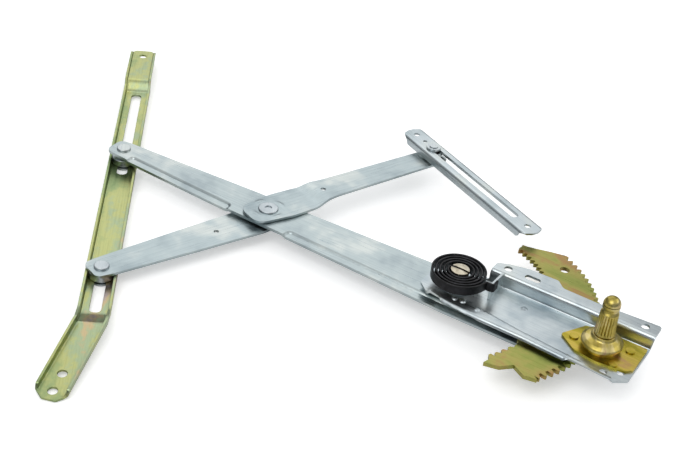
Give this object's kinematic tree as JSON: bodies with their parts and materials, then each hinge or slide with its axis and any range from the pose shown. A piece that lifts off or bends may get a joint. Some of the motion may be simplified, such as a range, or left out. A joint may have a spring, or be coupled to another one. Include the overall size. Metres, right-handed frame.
{
  "type": "window regulator",
  "caption": "Hand-cranked X-arm window regulator: toothed sector and lift arm with a crossing equaliser arm, slotted glass channel, guide rail, coil spring and splined crank spindle.",
  "frame": {"origin": "on the crank spindle's axis, in the front plane of the tray's mounting flange, which bolts against the door's inner panel", "axes": "+Z out along the crank spindle towards the cabin, +X along the glass channel, +Y from the spindle up towards the glass channel"},
  "size_m": [0.519, 0.4523, 0.0719],
  "materials": {
    "zinc": "bright zinc plate, faintly blue, satin",
    "yellow_chromate": "yellow chromate over zinc, iridescent",
    "spring_steel": "oiled spring steel",
    "black_spring": "black oxide with an oil film",
    "plain_steel": "turned steel, lightly oiled",
    "label": "blank white self-adhesive label"
  },
  "bodies": {
    "base": {"base_plate": "zinc", "front_plate": "yellow_chromate", "plate_rivets": "zinc", "brake_drum": "yellow_chromate"},
    "crank": {"crank_spindle": "yellow_chromate", "pinion": "plain_steel", "wrap_spring": "spring_steel"},
    "lift_arm": {"main_arm": "zinc", "sector_gear": "yellow_chromate", "sector_rivets": "zinc", "pivot_arbor": "plain_steel", "pivot_washer": "zinc", "clock_spring": "black_spring", "arm_stud": "zinc", "plain_label": "label"},
    "equaliser": {"equaliser_front": "zinc", "equaliser_back": "zinc", "centre_sleeve": "zinc", "link_stud": "zinc", "guide_stud": "zinc"},
    "channel": {"glass_channel": "yellow_chromate"},
    "arm_roller": {"arm_roller": "zinc"},
    "link_roller": {"link_roller": "zinc"},
    "guide_roller": {"guide_roller": "zinc"},
    "rail": {"guide_rail": "zinc"}
  },
  "joints": [
    {"name": "lift_arm_pivot", "type": "hinge", "parent": "base", "child": "lift_arm", "pos_m": [0.0671, 0.09949, -0.013], "axis": [0, 0, 1], "range_deg": [-41, 24], "deforming": ["clock_spring"]},
    {"name": "crank_turn", "type": "hinge", "parent": "base", "child": "crank", "pos_m": [0, 0, 0], "axis": [0, 0, 1], "range_deg": [-338, 576]},
    {"name": "scissor_pivot", "type": "hinge", "parent": "lift_arm", "child": "equaliser", "pos_m": [0.16608, 0.24622, -0.019], "axis": [0, 0, 1], "range_deg": [0, 76]},
    {"name": "channel_pivot", "type": "hinge", "parent": "equaliser", "child": "channel", "pos_m": [0.08052, 0.37307, -0.032], "axis": [0, 0, 1], "range_deg": [-39, 1]},
    {"name": "arm_roller_spin", "type": "hinge", "parent": "lift_arm", "child": "arm_roller", "pos_m": [0.25164, 0.37307, -0.03], "axis": [0, 0, 1], "continuous": true},
    {"name": "link_roller_spin", "type": "hinge", "parent": "equaliser", "child": "link_roller", "pos_m": [0.08052, 0.37307, -0.03], "axis": [0, 0, 1], "continuous": true},
    {"name": "rail_swing", "type": "hinge", "parent": "equaliser", "child": "guide_roller", "pos_m": [0.26506, 0.09949, -0.008], "axis": [0, 0, 1], "range_deg": [-76, 12]},
    {"name": "rail_slide", "type": "slide", "parent": "guide_roller", "child": "rail", "axis": [-0.8704, -0.4924, 0], "range_m": [-0.117, 0]}
  ],
  "couplings": [
    {"joint": "crank_turn", "follows": "lift_arm_pivot", "ratio": -14},
    {"joint": "channel_pivot", "follows": "scissor_pivot", "ratio": -0.5}
  ]
}
